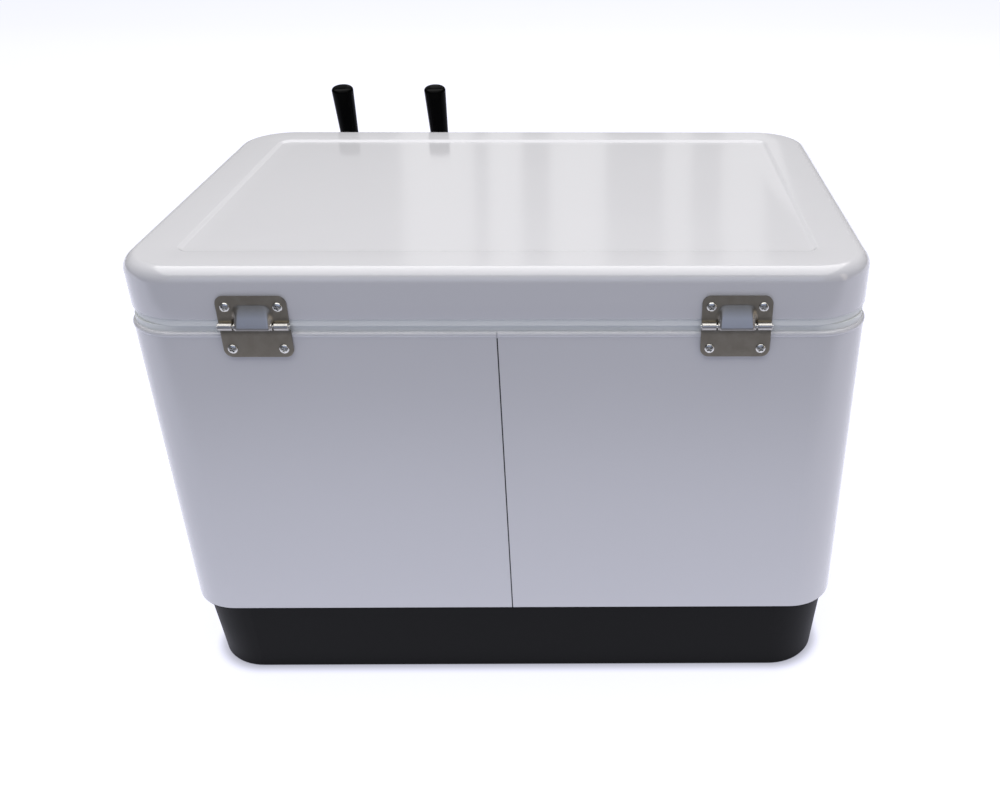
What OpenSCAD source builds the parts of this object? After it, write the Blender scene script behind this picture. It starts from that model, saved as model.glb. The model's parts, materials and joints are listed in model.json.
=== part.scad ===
// Steel-clad chest cooler with a cold plate and two draught taps.
// Frame: millimetres, +Z up, origin at the centre of the base's bottom face.
// The taps are on the -Y front, the lid hinges on the +Y back.

/* [Body] */
// Width of the steel wrap along X
body_w = 618; // [520:1:760]
// Depth of the steel wrap along Y
body_d = 422; // [360:1:520]
// Height of the upper edge of the steel wrap above the floor
body_h = 370.6; // [330:0.1:460]
// Corner radius of the steel wrap
body_r = 45; // [40:1:60]
// Thickness of the steel wrap
wrap_t = 1; // [0.8:0.1:1.4]
// Height of the black base
base_h = 82; // [76:1:100]
// Wall of the black base
base_t = 3; // [2.5:0.1:4]
// How much the base narrows on each side towards the floor
base_taper = 6.3; // [2:0.1:8]
// Thickness of the insulated wall of the chest
insulation = 50; // [46:1:60]
// Thickness of the insulation under the tub
floor_insulation = 34; // [30:1:38]
// Wall of the plastic tub
tub_t = 3; // [2.5:0.1:4]

/* [Lid] */
// How far the lid stands out past the wrap on each side
lid_overhang = 1; // [0.5:0.1:3]
// Height of the steel skirt and top of the lid
lid_h = 42.1; // [36:0.1:60]
// Plan corner radius of the lid
lid_r = 54; // [48:1:60]
// Radius of the lid's rounded top edge
lid_edge_r = 12; // [8:0.5:16]
// Border of the recessed panel at the left and right
panel_inset_x = 45; // [40:1:70]
// Border of the recessed panel at the front and back
panel_inset_y = 43; // [38:1:70]
// Depth of the recessed panel
panel_depth = 2; // [1:0.1:3]

/* [Hinges] */
// Distance between the two hinges
hinge_spacing = 390; // [300:1:440]
// Width of a hinge leaf
hinge_w = 57; // [50:1:70]
// Radius of a hinge pin
hinge_pin_r = 1.5; // [1.2:0.1:2]
// Spacing of the two screws in a leaf
hinge_screw_spacing = 42; // [36:1:44]

/* [Taps] */
// Distance of the right tap from the chest's end
tap_end_gap = 95.5; // [92:0.5:120]
// Distance between the two taps
tap_spacing = 106.5; // [90:0.5:107]
// Height of the shanks above the floor
tap_z = 298; // [285:1:310]
// Radius of a shank's thread
shank_r = 11.1; // [9:0.1:11.5]
// Length of a tap handle
handle_l = 109.5; // [80:0.5:140]
// Largest radius of a tap handle
handle_r = 12.3; // [9.5:0.1:15]
// Angle by which a handle leans back when the tap is shut
handle_lean = 10; // [0:1:12]

/* [Handles] */
// Distance between the pivots of a side handle
bail_w = 150; // [130:1:180]
// Drop of the hanging side handle
bail_drop = 62; // [55:1:80]
// Radius of the side handle's rod
bail_r = 4; // [3:0.5:5]
// Radius of the side handle's grip
grip_r = 10; // [8:0.5:13]

/* [Drain] */
// Radius of the drain's bore
drain_r = 8; // [6:0.5:9]

/* [Cold plate] */
// Width of the cold plate
plate_w = 300; // [240:1:330]
// Depth of the cold plate
plate_d = 200; // [160:1:220]
// Thickness of the cold plate
plate_t = 32; // [25:1:40]

/* [Hidden] */
$fn = 48;

// Gaps between pieces
run_gap = 0.06;
joint_gap = 0.3;
eps = 0.01;

// Colours
steel_white = "#E8E9EE";
plastic_white = "#DDE2E2";
base_black = "#1C1C1E";
foam_yellow = "#E6D9A8";
hinge_steel = "#8A8984";
bright_steel = "#C9CACC";
tap_black = "#0E0E10";
plate_grey = "#A9ABAE";
line_clear = "#D9DEE0";
seal_grey = "#55585A";

// Chest levels and places
front_y = -body_d / 2;
back_y = body_d / 2;
end_x = body_w / 2;
rim_h = 5.4;
rim_z = body_h + rim_h;
rim_inset = 2.2;
upstand_h = 18;
tub_w = body_w - 2 * wrap_t - 2 * insulation - 2 * tub_t;
tub_d = body_d - 2 * wrap_t - 2 * insulation - 2 * tub_t;
tub_r_wanted = 24;
tub_floor_z = base_t + floor_insulation + tub_t;
tub_inner_y = -tub_d / 2;
tub_inner_x = tub_w / 2;
bead_r = 2.6;
bead_proud = 0.7;
seam_gap = 1.1;
seam_depth = 0.6;
base_inset = 2.4;

// Places of the taps; the tub's corner is limited by the wall beside the right tap's nut
tap_places = [end_x - tap_end_gap - tap_spacing, end_x - tap_end_gap];
shank_nut_af = 28;
nut_room = 1;
tub_r = min(tub_r_wanted, tub_inner_x - tap_places[1] - shank_nut_af / sqrt(3) - nut_room);

// Lid levels and places
lid_w = body_w + 2 * lid_overhang;
lid_d = body_d + 2 * lid_overhang;
lid_t = 1;
lip_h = 6.2;
lip_z = rim_z + joint_gap;
lid_z = lip_z + lip_h;
lid_top = lid_z + lid_h;
plug_h = 11;
plug_gap = 2.5;
plug_w = tub_w - 2 * plug_gap;
plug_d = tub_d - 2 * plug_gap;
panel_r = 12;
panel_w = lid_w - 2 * panel_inset_x;
panel_d = lid_d - 2 * panel_inset_y;

// Rounded rectangle centred on the origin
module rrect(w, d, r) {
  square([w - 2 * r, d], center = true);
  square([w, d - 2 * r], center = true);
  for (sx = [-1, 1], sy = [-1, 1])
    translate([sx * (w / 2 - r), sy * (d / 2 - r)])
      circle(r);
}

// Upright prism on a rounded rectangle from z0 to z1
module rblock(w, d, r, z0, z1) {
  translate([0, 0, z0])
    linear_extrude(z1 - z0)
      rrect(w, d, r);
}

// Hollow upright wall of thickness t whose outside is w by d
module rwall(w, d, r, t, z0, z1) {
  translate([0, 0, z0])
    linear_extrude(z1 - z0)
      difference() {
        rrect(w, d, r);
        rrect(w - 2 * t, d - 2 * t, r - t);
      }
}

// Sweeps a profile round a rounded rectangle; its x runs out from the corner's centre, its y is the height
module sweep_round(w, d, r) {
  for (s = [0, 1]) {
    rotate([0, 0, 180 * s])
      translate([w / 2 - r, d / 2 - r, 0])
        rotate([90, 0, 0])
          linear_extrude(d - 2 * r)
            children();
    rotate([0, 0, 180 * s + 90])
      translate([d / 2 - r, w / 2 - r, 0])
        rotate([90, 0, 0])
          linear_extrude(w - 2 * r)
            children();
    rotate([0, 0, 180 * s])
      translate([w / 2 - r, d / 2 - r, 0])
        rotate_extrude(angle = 90)
          children();
    rotate([0, 0, 180 * s + 90])
      translate([d / 2 - r, w / 2 - r, 0])
        rotate_extrude(angle = 90)
          children();
  }
}

// Cylinder of radius r from y0 to y1 along Y at (x, z)
module rod_y(x, z, r, y0, y1) {
  translate([x, y0, z])
    rotate([-90, 0, 0])
      cylinder(r = r, h = y1 - y0);
}

// Cylinder of radius r from x0 to x1 along X at (y, z)
module rod_x(y, z, r, x0, x1) {
  translate([x0, y, z])
    rotate([0, 90, 0])
      cylinder(r = r, h = x1 - x0);
}

// Hexagon nut along +Z with across-flats size af, height h and bore radius r
module hex_nut(af, h, r) {
  difference() {
    cylinder(r = af / sqrt(3), h = h, $fn = 6);
    translate([0, 0, -1])
      cylinder(r = r, h = h + 2);
  }
}

// Cross-head screw along -Z with its head on z = 0
module cross_screw(head_r, head_h, shaft_r, shaft_l) {
  slot_l = head_r * 1.1;
  slot_w = head_r * 0.3;
  difference() {
    union() {
      rotate_extrude()
        polygon([
          [0, 0], [head_r, 0], [head_r, head_h * 0.35], [head_r * 0.86, head_h * 0.72],
          [head_r * 0.55, head_h * 0.94], [0, head_h]
        ]);
      translate([0, 0, -shaft_l])
        cylinder(r = shaft_r, h = shaft_l + eps);
    }
    for (a = [0, 90])
      rotate([0, 0, a])
        translate([-slot_l / 2, -slot_w / 2, head_h * 0.35])
          cube([slot_l, slot_w, head_h]);
  }
}

// ---- Chest ----

base_w = body_w - 2 * base_inset;
base_d = body_d - 2 * base_inset;
base_r = body_r + 10;
base_foot_r = 2.5;
ledge_t = 8;
ledge_h = 2;
foot_gap = 2;
upstand_gap = 0.2;
upstand_t = 2;

// Outer corner radius minus the base's taper at height z
function base_edge(z) = base_r - base_taper * (1 - z / base_h);

module base_pan() {
  color(base_black)
    difference() {
      base_pan_body();
      wall_holes(hole_gap);
    }
}

module base_pan_body() {
  upstand_r = body_r - wrap_t - upstand_gap;
  union() {
    sweep_round(base_w, base_d, base_r)
      polygon([
        [0, 0], [base_edge(0) - base_foot_r, 0], [base_edge(0) - base_foot_r * 0.3, base_foot_r * 0.3],
        [base_edge(base_foot_r), base_foot_r], [base_r, base_h], [base_r - base_t, base_h],
        [base_edge(base_t) - base_t - foot_gap, base_t], [0, base_t]
      ]);
    rwall(body_w - 2 * (wrap_t + upstand_gap), body_d - 2 * (wrap_t + upstand_gap), upstand_r,
      upstand_t, base_h - 0.5, base_h + upstand_h);
    rwall(body_w - 2 * (wrap_t + upstand_gap), body_d - 2 * (wrap_t + upstand_gap), upstand_r,
      ledge_t, base_h - ledge_h, base_h);
    translate([-(base_w / 2 - base_r), -(base_d / 2 - base_r), 0])
      cube([base_w - 2 * base_r, base_d - 2 * base_r, base_t]);
  }
}

// Places where the chest's wall is pierced: x of each tap, y of each inlet
inlet_places = [-40, 40];
inlet_z = 168;
drain_y = -110;
drain_z = tub_floor_z + drain_r + 7.5;
hole_gap = 0.4;

module wall_holes(grow) {
  for (x = tap_places)
    rod_y(x, tap_z, shank_r + grow, front_y - 2, tub_inner_y + 2);
  for (y = inlet_places)
    rod_x(y, inlet_z, shank_r + grow, tub_inner_x - 2, end_x + 2);
  rod_x(drain_y, drain_z, drain_r + 3 + grow, tub_inner_x - 2, end_x + 2);
}

module steel_wrap() {
  color(steel_white)
    difference() {
      sweep_round(body_w, body_d, body_r)
        union() {
          translate([body_r - wrap_t, base_h])
            square([wrap_t, body_h - bead_r - base_h]);
          translate([body_r - bead_r + bead_proud, body_h - bead_r])
            circle(r = bead_r);
        }
      wall_holes(hole_gap);
      translate([-seam_gap / 2, back_y - seam_depth, base_h - 1])
        cube([seam_gap, 10, body_h]);
    }
}

foam_base_w = base_w - 2 * (base_taper + base_t + foot_gap);
foam_base_d = base_d - 2 * (base_taper + base_t + foot_gap);

module body_foam() {
  step_w = body_w - 2 * (wrap_t + upstand_gap + upstand_t);
  step_d = body_d - 2 * (wrap_t + upstand_gap + upstand_t);
  foam_w = body_w - 2 * wrap_t;
  foam_d = body_d - 2 * wrap_t;
  foam_top = body_h - 2 * bead_r;
  color(foam_yellow)
    difference() {
      union() {
        rblock(foam_base_w, foam_base_d, base_r - base_taper - base_t - foot_gap, base_t, base_h + 1);
        rblock(step_w, step_d, body_r - wrap_t - upstand_gap - upstand_t, base_h, base_h + upstand_h + 1);
        rblock(foam_w, foam_d, body_r - wrap_t, base_h + upstand_h, foam_top);
      }
      rblock(tub_w + 2 * tub_t, tub_d + 2 * tub_t, tub_r + tub_t, tub_floor_z - tub_t, foam_top + 1);
      wall_holes(hole_gap);
    }
}

module liner_tub() {
  rim_w = body_w - 2 * rim_inset;
  rim_d = body_d - 2 * rim_inset;
  color(plastic_white)
    difference() {
      union() {
        rblock(tub_w + 2 * tub_t, tub_d + 2 * tub_t, tub_r + tub_t, tub_floor_z - tub_t, rim_z);
        rblock(rim_w, rim_d, body_r - rim_inset, body_h, rim_z);
        rwall(body_w - 2 * (wrap_t + 4), body_d - 2 * (wrap_t + 4), body_r - wrap_t - 4, 3,
          body_h - 2 * bead_r, body_h + eps);
      }
      rblock(tub_w, tub_d, tub_r, tub_floor_z, rim_z + 1);
      wall_holes(hole_gap);
    }
}

// ---- Hinges ----

leaf_t = 1.5;
lower_leaf_t = 2.4;
leaf_r = 7;
hinge_z = rim_z + 2;
hinge_y = back_y + lid_overhang + 3.8;
knuckle_r = 3.3;
knuckle_split = 15.5;
upper_leaf_top = lid_z + 21;
lower_leaf_bottom = body_h - 21;
lower_leaf_top = body_h + 2.6;
upper_leaf_bottom = hinge_z + 2.5;
upper_screw_z = upper_leaf_top - 9.6;
lower_screw_z = lower_leaf_bottom + 7.4;
hinge_head_r = 4.2;
hinge_head_h = 1.8;
screw_r = 2;
hinge_places = [-hinge_spacing / 2, hinge_spacing / 2];

// Plate in the XZ plane between y0 and y1 with two rounded corners at the end away from the pin
module leaf(z0, z1, y0, y1) {
  far = abs(z1 - hinge_z) > abs(z0 - hinge_z) ? z1 : z0;
  near = far == z1 ? z0 : z1;
  inward = far == z1 ? -1 : 1;
  low = min(near, far + inward * leaf_r);
  translate([0, y1, 0])
    rotate([90, 0, 0])
      linear_extrude(y1 - y0)
        union() {
          translate([-hinge_w / 2, low])
            square([hinge_w, abs(near - far) - leaf_r]);
          translate([-hinge_w / 2 + leaf_r, min(z0, z1)])
            square([hinge_w - 2 * leaf_r, z1 - z0]);
          for (s = [-1, 1])
            translate([s * (hinge_w / 2 - leaf_r), far + inward * leaf_r])
              circle(r = leaf_r);
        }
}

module leaf_holes(z) {
  for (s = [-1, 1])
    rod_y(s * hinge_screw_spacing / 2, z, screw_r + 0.2, back_y - 5, back_y + 10);
}

module hinge_lower(x) {
  color(hinge_steel)
    translate([x, 0, 0])
      difference() {
        union() {
          leaf(lower_leaf_bottom, lower_leaf_top, back_y, back_y + lower_leaf_t);
          translate([-knuckle_split, back_y + 0.9, body_h])
            cube([2 * knuckle_split, lower_leaf_t - 0.9, hinge_z - body_h]);
          rod_x(hinge_y, hinge_z, knuckle_r, -knuckle_split, knuckle_split);
        }
        rod_x(hinge_y, hinge_z, hinge_pin_r + eps, -hinge_w, hinge_w);
        translate([-hinge_w, back_y - 1, body_h - 2 * bead_r - 0.6])
          cube([2 * hinge_w, 1 + bead_proud + 0.1, 2 * bead_r + 1]);
        leaf_holes(lower_screw_z);
      }
}

// Pressed dome that covers the middle knuckle: a bulge cut to a tapering outline
dome_out = 7.2;
dome_h = 17.5;
dome_t = 1.1;
dome_foot_w = 35;
dome_top_w = 25;
dome_low = hinge_z - 1.6;

function bulge(out, h, n) = [for (i = [0:n]) [out * cos(90 * i / n), h * sin(90 * i / n)]];

module dome_solid(shrink) {
  leaf_y = back_y + lid_overhang;
  intersection() {
    translate([-dome_foot_w / 2, 0, 0])
      rotate([90, 0, 90])
        linear_extrude(dome_foot_w)
          translate([leaf_y + leaf_t, hinge_z])
            polygon(concat(
              [[-leaf_t - 1, dome_h - shrink], [-leaf_t - 1, dome_low - hinge_z - (shrink > 0 ? 1 : 0)],
                [dome_out - shrink, dome_low - hinge_z - (shrink > 0 ? 1 : 0)]],
              bulge(dome_out - shrink, dome_h - shrink, 8)
            ));
    translate([0, leaf_y + 20, 0])
      rotate([90, 0, 0])
        linear_extrude(30)
          polygon([
            [-dome_foot_w / 2 + shrink, dome_low - 2], [dome_foot_w / 2 - shrink, dome_low - 2],
            [dome_top_w / 2 + 1.5 - shrink, hinge_z + dome_h * 0.7],
            [dome_top_w / 2 - 2 - shrink, hinge_z + dome_h], [-dome_top_w / 2 + 2 + shrink, hinge_z + dome_h],
            [-dome_top_w / 2 - 1.5 + shrink, hinge_z + dome_h * 0.7]
          ]);
  }
}

module hinge_upper(x) {
  leaf_y = back_y + lid_overhang;
  knuckle_l = hinge_w / 2 - knuckle_split - 1.2;
  color(hinge_steel)
    translate([x, 0, 0])
      difference() {
        union() {
          leaf(upper_leaf_bottom, upper_leaf_top, leaf_y, leaf_y + leaf_t);
          intersection() {
            dome_solid(0);
            translate([-hinge_w, leaf_y, 0])
              cube([2 * hinge_w, 30, 2 * hinge_z]);
          }
          for (s = [-1, 1]) {
            translate([s * (hinge_w / 2 - knuckle_l / 2) - knuckle_l / 2, leaf_y, hinge_z])
              cube([knuckle_l, hinge_y - leaf_y, upper_leaf_bottom - hinge_z + 1]);
            rod_x(hinge_y, hinge_z, knuckle_r, s > 0 ? hinge_w / 2 - knuckle_l : -hinge_w / 2,
              s > 0 ? hinge_w / 2 : -hinge_w / 2 + knuckle_l);
          }
        }
        dome_solid(dome_t);
        rod_x(hinge_y, hinge_z, knuckle_r + 0.5, -knuckle_split - 0.6, knuckle_split + 0.6);
        rod_x(hinge_y, hinge_z, hinge_pin_r + run_gap, -hinge_w, hinge_w);
        leaf_holes(upper_screw_z);
      }
}

module hinge_pins() {
  color(bright_steel)
    for (x = hinge_places)
      rod_x(hinge_y, hinge_z, hinge_pin_r, x - hinge_w / 2 - 0.8, x + hinge_w / 2 + 0.8);
}

module hinge_screws(z, y) {
  color(bright_steel)
    for (x = hinge_places, s = [-1, 1])
      translate([x + s * hinge_screw_spacing / 2, y, z])
        rotate([-90, 0, 0])
          cross_screw(hinge_head_r, hinge_head_h, screw_r - 0.1, 16);
}

// ---- Lid ----

// Section of the lid's steel from its lower edge over the rounded edge to the flat top
module lid_edge_profile() {
  inner_r = lid_edge_r - lid_t;
  difference() {
    union() {
      translate([lid_r - lid_edge_r, lid_z])
        square([lid_edge_r, lid_h - lid_edge_r]);
      translate([0, lid_z])
        square([lid_r - lid_edge_r, lid_h]);
      translate([lid_r - lid_edge_r, lid_top - lid_edge_r])
        circle(r = lid_edge_r);
    }
    translate([-1, lid_z - 1])
      square([lid_r - lid_t + 1, lid_h - lid_edge_r + 1]);
    translate([-1, lid_z - 1])
      square([lid_r - lid_edge_r + 1, lid_h - lid_t + 1]);
    translate([lid_r - lid_edge_r, lid_top - lid_edge_r])
      circle(r = inner_r);
  }
}

module lid_shell() {
  under = panel_depth + lid_t;
  color(steel_white)
    difference() {
      union() {
        sweep_round(lid_w, lid_d, lid_r)
          lid_edge_profile();
        translate([-(lid_w / 2 - lid_r), -(lid_d / 2 - lid_r), lid_top - lid_t])
          cube([lid_w - 2 * lid_r, lid_d - 2 * lid_r, lid_t]);
        rblock(panel_w + 2 * lid_t, panel_d + 2 * lid_t, panel_r + lid_t, lid_top - under,
          lid_top - lid_t / 2);
      }
      rblock(panel_w, panel_d, panel_r, lid_top - panel_depth, lid_top + 1);
    }
}

module lid_foam() {
  foam_w = lid_w - 2 * lid_t;
  foam_d = lid_d - 2 * lid_t;
  under = lid_top - panel_depth - lid_t;
  shoulder = lid_top - lid_edge_r;
  color(foam_yellow)
    union() {
      rblock(foam_w, foam_d, lid_r - lid_t, lid_z + 0.2, shoulder);
      rblock(foam_w - lid_edge_r, foam_d - lid_edge_r, lid_r - lid_edge_r / 2, shoulder - eps, under);
      rblock(plug_w - 2 * tub_t, plug_d - 2 * tub_t, tub_r - tub_t, lip_z - plug_h + tub_t, lid_z + 1);
    }
}

module lid_liner() {
  lip_inset = 1.4;
  color(plastic_white)
    difference() {
      union() {
        rblock(lid_w - 2 * lip_inset, lid_d - 2 * lip_inset, lid_r - lip_inset, lip_z, lid_z + 0.2);
        rblock(plug_w, plug_d, tub_r, lip_z - plug_h, lip_z + 1);
      }
      rblock(plug_w - 2 * tub_t, plug_d - 2 * tub_t, tub_r - tub_t, lip_z - plug_h + tub_t, lid_z + 1);
    }
}

// ---- Latch, stored unlatched ----

latch_w = 36;
latch_z = lid_z + 13;
latch_y = -lid_d / 2 - 6.5;
latch_pin_r = 2;
catch_z = body_h - 22;
catch_rod_r = 2;
catch_y = front_y - 3.7;

module latch_plate() {
  face = -lid_d / 2;
  ear = 3;
  color(hinge_steel)
    difference() {
      union() {
        translate([-latch_w / 2 - 8, face - 1.5, lid_z + 2])
          cube([latch_w + 16, 1.5, 25]);
        for (s = [-1, 1])
          hull() {
            rod_x(latch_y, latch_z, 4, s * (latch_w / 2 + 2) - ear / 2, s * (latch_w / 2 + 2) + ear / 2);
            translate([s * (latch_w / 2 + 2) - ear / 2, face - 1.5, latch_z - 6])
              cube([ear, 1, 12]);
          }
      }
      rod_x(latch_y, latch_z, latch_pin_r, -latch_w, latch_w);
      for (s = [-1, 1])
        rod_y(s * 13, latch_z + 9, screw_r + 0.2, face - 5, face + 5);
    }
}

module latch_plate_screws() {
  color(bright_steel)
    for (s = [-1, 1])
      translate([s * 13, -lid_d / 2 - 1.5, latch_z + 9])
        rotate([90, 0, 0])
          cross_screw(3.4, 1.4, screw_r - 0.1, 14);
}

module latch_lever() {
  lever_w = latch_w - 1.2;
  lever_t = 1.6;
  barrel_r = latch_pin_r + 1.4;
  outer_y = latch_y - barrel_r;
  tip_z = catch_z - 6.5;
  color(bright_steel)
    difference() {
      union() {
        rod_x(latch_y, latch_z, barrel_r, -lever_w / 2, lever_w / 2);
        translate([-lever_w / 2, outer_y, tip_z])
          cube([lever_w, lever_t, latch_z - tip_z]);
        translate([-8, outer_y, tip_z])
          cube([16, 4.7, 1.8]);
        translate([-lever_w / 2, outer_y - 4, tip_z - 8])
          cube([lever_w, 4 + lever_t, 1.8]);
        translate([-lever_w / 2, outer_y, tip_z - 8])
          cube([lever_w, lever_t, 8 + eps]);
      }
      rod_x(latch_y, latch_z, latch_pin_r + run_gap, -latch_w, latch_w);
    }
}

module latch_pin() {
  color(bright_steel)
    rod_x(latch_y, latch_z, latch_pin_r - eps, -latch_w / 2 - 4.5, latch_w / 2 + 4.5);
}

module latch_catch() {
  ear_x = 10;
  color(hinge_steel)
    difference() {
      union() {
        translate([-20, front_y - 1.5, catch_z - 12])
          cube([40, 1.5, 24]);
        for (s = [-1, 1])
          translate([s * ear_x - 1.5, catch_y - catch_rod_r, catch_z - 2.2])
            cube([3, front_y - catch_y + catch_rod_r - 1, 4.4]);
        rod_x(catch_y, catch_z, catch_rod_r, -ear_x, ear_x);
      }
      for (s = [-1, 1])
        rod_y(s * 15.5, catch_z + 6, screw_r + 0.2, front_y - 5, front_y + 5);
    }
}

module latch_catch_screws() {
  color(bright_steel)
    for (s = [-1, 1])
      translate([s * 15.5, front_y - 1.5, catch_z + 6])
        rotate([90, 0, 0])
          cross_screw(3.2, 1.2, screw_r - 0.1, 14);
}

// ---- Side handles, hanging down ----

bail_z = 302;
bracket_t = 2;
bracket_h = 30;
ear_w = 8;
bail_x = end_x + bracket_t + grip_r + 2;
bracket_screw_y = bail_w / 2 - 22;

module bail_bracket(side) {
  color(hinge_steel)
    difference() {
      union() {
        mirror([side < 0 ? 1 : 0, 0, 0])
          translate([end_x, 0, 0]) {
            translate([0, -bail_w / 2 - 14, bail_z - bracket_h / 2])
              cube([bracket_t, bail_w + 28, bracket_h]);
            for (s = [-1, 1]) {
              translate([0, s * bail_w / 2 - ear_w / 2, bail_z - bail_r - 3])
                cube([bail_x - end_x, ear_w, 2 * (bail_r + 3)]);
              rod_y(bail_x - end_x, bail_z, bail_r + 3, s * bail_w / 2 - ear_w / 2,
                s * bail_w / 2 + ear_w / 2);
            }
          }
      }
      rod_y(side * bail_x, bail_z, bail_r + run_gap, -bail_w, bail_w);
      for (s = [-1, 1])
        rod_x(s * bracket_screw_y, bail_z, screw_r + 0.2, side > 0 ? end_x - 5 : -end_x - 9,
          side > 0 ? end_x + 9 : -end_x + 5);
    }
}

module bail_bracket_screws() {
  color(bright_steel)
    for (side = [-1, 1], s = [-1, 1])
      translate([side * (end_x + bracket_t), s * bracket_screw_y, bail_z])
        rotate([0, side * 90, 0])
          cross_screw(4, 1.8, screw_r - 0.1, 18);
}

bend_r = 12;

// Bent rod: two pivot stubs, two arms and a cross bar with round bends
module bail(side) {
  arm_y = bail_w / 2 - ear_w / 2 - 1.5 - bail_r;
  bottom = bail_z - bail_drop;
  color(bright_steel)
    for (s = [-1, 1]) {
      translate([side * bail_x, s * arm_y, bail_z])
        sphere(r = bail_r);
      rod_y(side * bail_x, bail_z, bail_r, s > 0 ? arm_y : -bail_w / 2 - 6, s > 0 ? bail_w / 2 + 6 : -arm_y);
      translate([side * bail_x, s * arm_y, bottom + bend_r])
        cylinder(r = bail_r, h = bail_drop - bend_r);
      translate([side * bail_x, s * (arm_y - bend_r), bottom + bend_r])
        rotate([0, 90, 0])
          rotate([0, 0, s > 0 ? 0 : -90])
            rotate_extrude(angle = 90)
              translate([bend_r, 0])
                circle(r = bail_r);
      rod_y(side * bail_x, bottom, bail_r, s > 0 ? -eps : -(arm_y - bend_r), s > 0 ? arm_y - bend_r : eps);
    }
}

grip_l = 96;

module grip(side) {
  color(base_black)
    translate([side * bail_x, 0, bail_z - bail_drop])
      rotate([-90, 0, 0])
        rotate_extrude()
          polygon([
            [bail_r + run_gap / 2, -grip_l / 2], [grip_r - 1.5, -grip_l / 2], [grip_r, -grip_l / 2 + 2],
            [grip_r - 1, -grip_l / 4], [grip_r, 0], [grip_r - 1, grip_l / 4], [grip_r, grip_l / 2 - 2],
            [grip_r - 1.5, grip_l / 2], [bail_r + run_gap / 2, grip_l / 2]
          ]);
}

// ---- Drain ----

spout_r = drain_r + 3;
drain_flange_r = drain_r + 8;
drain_face = end_x - base_inset - 0.5;
spout_out = 16;

module drain_spout() {
  color(plastic_white)
    difference() {
      union() {
        rod_x(drain_y, drain_z, spout_r, tub_inner_x - 10, drain_face + spout_out);
        rod_x(drain_y, drain_z, drain_flange_r, drain_face, drain_face + 3);
      }
      rod_x(drain_y, drain_z, drain_r, tub_inner_x - 11, drain_face + spout_out + 1);
    }
}

module drain_nut() {
  color(plastic_white)
    translate([tub_inner_x - 8, drain_y, drain_z])
      rotate([0, 90, 0])
        hex_nut(2 * spout_r + 4, 6, spout_r + run_gap);
}

module drain_gasket() {
  color(seal_grey)
    translate([tub_inner_x - 2, drain_y, drain_z])
      rotate([0, 90, 0])
        rotate_extrude()
          polygon([[spout_r + run_gap, 0], [spout_r + 3, 0], [spout_r + 3, 2], [spout_r + run_gap, 2]]);
}

washer_t = 2;

module drain_washer() {
  start = drain_face + spout_out + 0.05;
  color(seal_grey)
    translate([start, drain_y, drain_z])
      rotate([0, 90, 0])
        rotate_extrude()
          polygon([
            [drain_r + 0.5, 0], [spout_r - 0.2, 0], [spout_r - 0.2, washer_t],
            [drain_r + 0.5, washer_t]
          ]);
}

module drain_cap() {
  start = drain_face + 5;
  inner_end = drain_face + spout_out + 0.05 + washer_t + 0.1;
  cap_r = spout_r + 3.5;
  color(base_black)
    difference() {
      union() {
        rod_x(drain_y, drain_z, cap_r, start, inner_end + 3);
        translate([inner_end + 2, drain_y - cap_r + 1, drain_z - 2])
          cube([7, 2 * cap_r - 2, 4]);
      }
      rod_x(drain_y, drain_z, spout_r + run_gap, start - 1, inner_end);
    }
}

// ---- Cold plate and beer lines ----

plate_end_gap = 125;
plate_x = tub_inner_x - plate_end_gap - plate_w / 2;
plate_foot_h = 6;
plate_z = tub_floor_z + plate_foot_h;
plate_mid_z = plate_z + plate_t / 2;
plate_edge_x = plate_x + plate_w / 2;
fitting_l = 20;
fitting_r = 4.6;
fitting_places = [-75, -25, 25, 75];
line_r = 4.8;
line_sides = 10;
tail_l = 34;
tail_x = tub_inner_x - tail_l;
tail_y = tub_inner_y + tail_l;
fitting_x = plate_edge_x + fitting_l;

module cold_plate() {
  fin_w = 6;
  fin_pitch = 25;
  color(plate_grey)
    difference() {
      union() {
        translate([plate_x, 0, 0])
          rblock(plate_w, plate_d, 8, plate_z, plate_z + plate_t);
        for (sx = [-1, 1], sy = [-1, 1])
          translate([plate_x + sx * (plate_w / 2 - 20), sy * (plate_d / 2 - 20), tub_floor_z])
            cylinder(r = 8, h = plate_foot_h + eps);
      }
      for (x = [-plate_w / 2 + fin_pitch : fin_pitch : plate_w / 2 - fin_pitch])
        translate([plate_x + x - fin_w / 2, -plate_d / 2 + 12, plate_z + plate_t - 4])
          cube([fin_w, plate_d - 24, 5]);
      for (y = fitting_places)
        rod_x(y, plate_mid_z, fitting_r + eps, plate_edge_x - 10, plate_edge_x + 1);
    }
}

// Barbed hose tail of length l along +Z, bored through
module hose_tail(l) {
  difference() {
    union() {
      cylinder(r = fitting_r - 0.6, h = l);
      for (z = [3, 8])
        translate([0, 0, l - z - 4])
          cylinder(r1 = fitting_r, r2 = fitting_r - 0.7, h = 4);
    }
    translate([0, 0, -1])
      cylinder(r = 2.6, h = l + 2);
  }
}

module plate_fittings() {
  color(bright_steel)
    for (y = fitting_places)
      translate([plate_edge_x - 9, y, plate_mid_z])
        rotate([0, 90, 0])
          union() {
            difference() {
              cylinder(r = fitting_r, h = 10);
              translate([0, 0, -1])
                cylinder(r = 2.6, h = 12);
            }
            translate([0, 0, 9])
              hex_nut(13, 5, 2.6);
            translate([0, 0, 13])
              hose_tail(fitting_l - 4);
          }
}

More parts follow.
